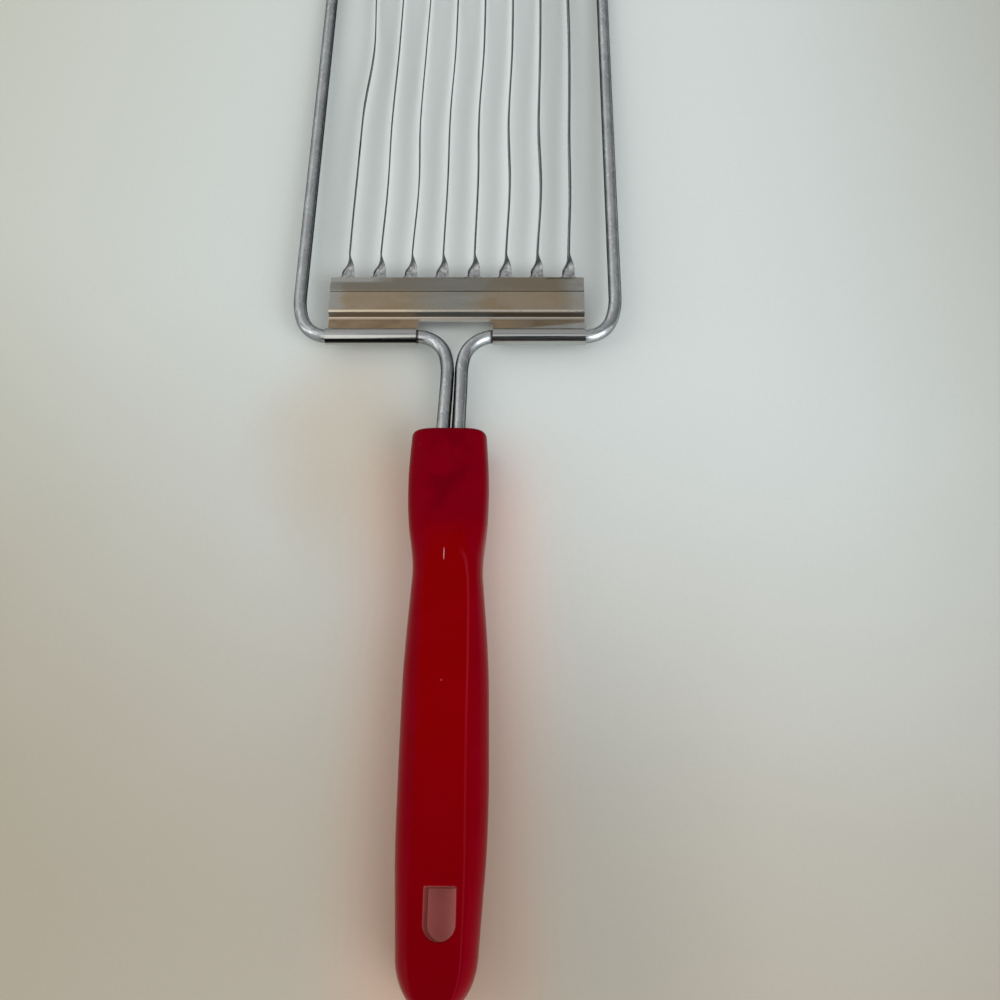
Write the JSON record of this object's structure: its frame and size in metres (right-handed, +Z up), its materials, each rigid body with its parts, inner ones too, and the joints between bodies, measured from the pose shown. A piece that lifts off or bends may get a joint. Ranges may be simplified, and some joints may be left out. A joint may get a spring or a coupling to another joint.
{
  "type": "tomato slicer",
  "caption": "Hand tomato slicer: a bent wire frame on a moulded handle holds a row of parallel twisted steel blades between two rolled end plates.",
  "frame": {"origin": "under the middle of the slicer, at the level of the handle's flat underside", "axes": "+X to the right across the slicer, +Y from the handle to the far end of the frame, +Z up from the underside"},
  "size_m": [0.0812, 0.2968, 0.0124],
  "materials": {
    "frame_wire": "satin plated wire, lightly scuffed",
    "handle_plastic": "glossy deep red moulded plastic",
    "plate_stainless": "stainless sheet with straw-coloured stains",
    "blade_stainless": "thin stainless strip, dull from use"
  },
  "bodies": {
    "root": {"frame_wire": "frame_wire", "handle": "handle_plastic", "lower_end_plate": "plate_stainless", "upper_end_plate": "plate_stainless", "blade_1": "blade_stainless", "blade_2": "blade_stainless", "blade_3": "blade_stainless", "blade_4": "blade_stainless", "blade_5": "blade_stainless", "blade_6": "blade_stainless", "blade_7": "blade_stainless", "blade_8": "blade_stainless"}
  },
  "joints": []
}
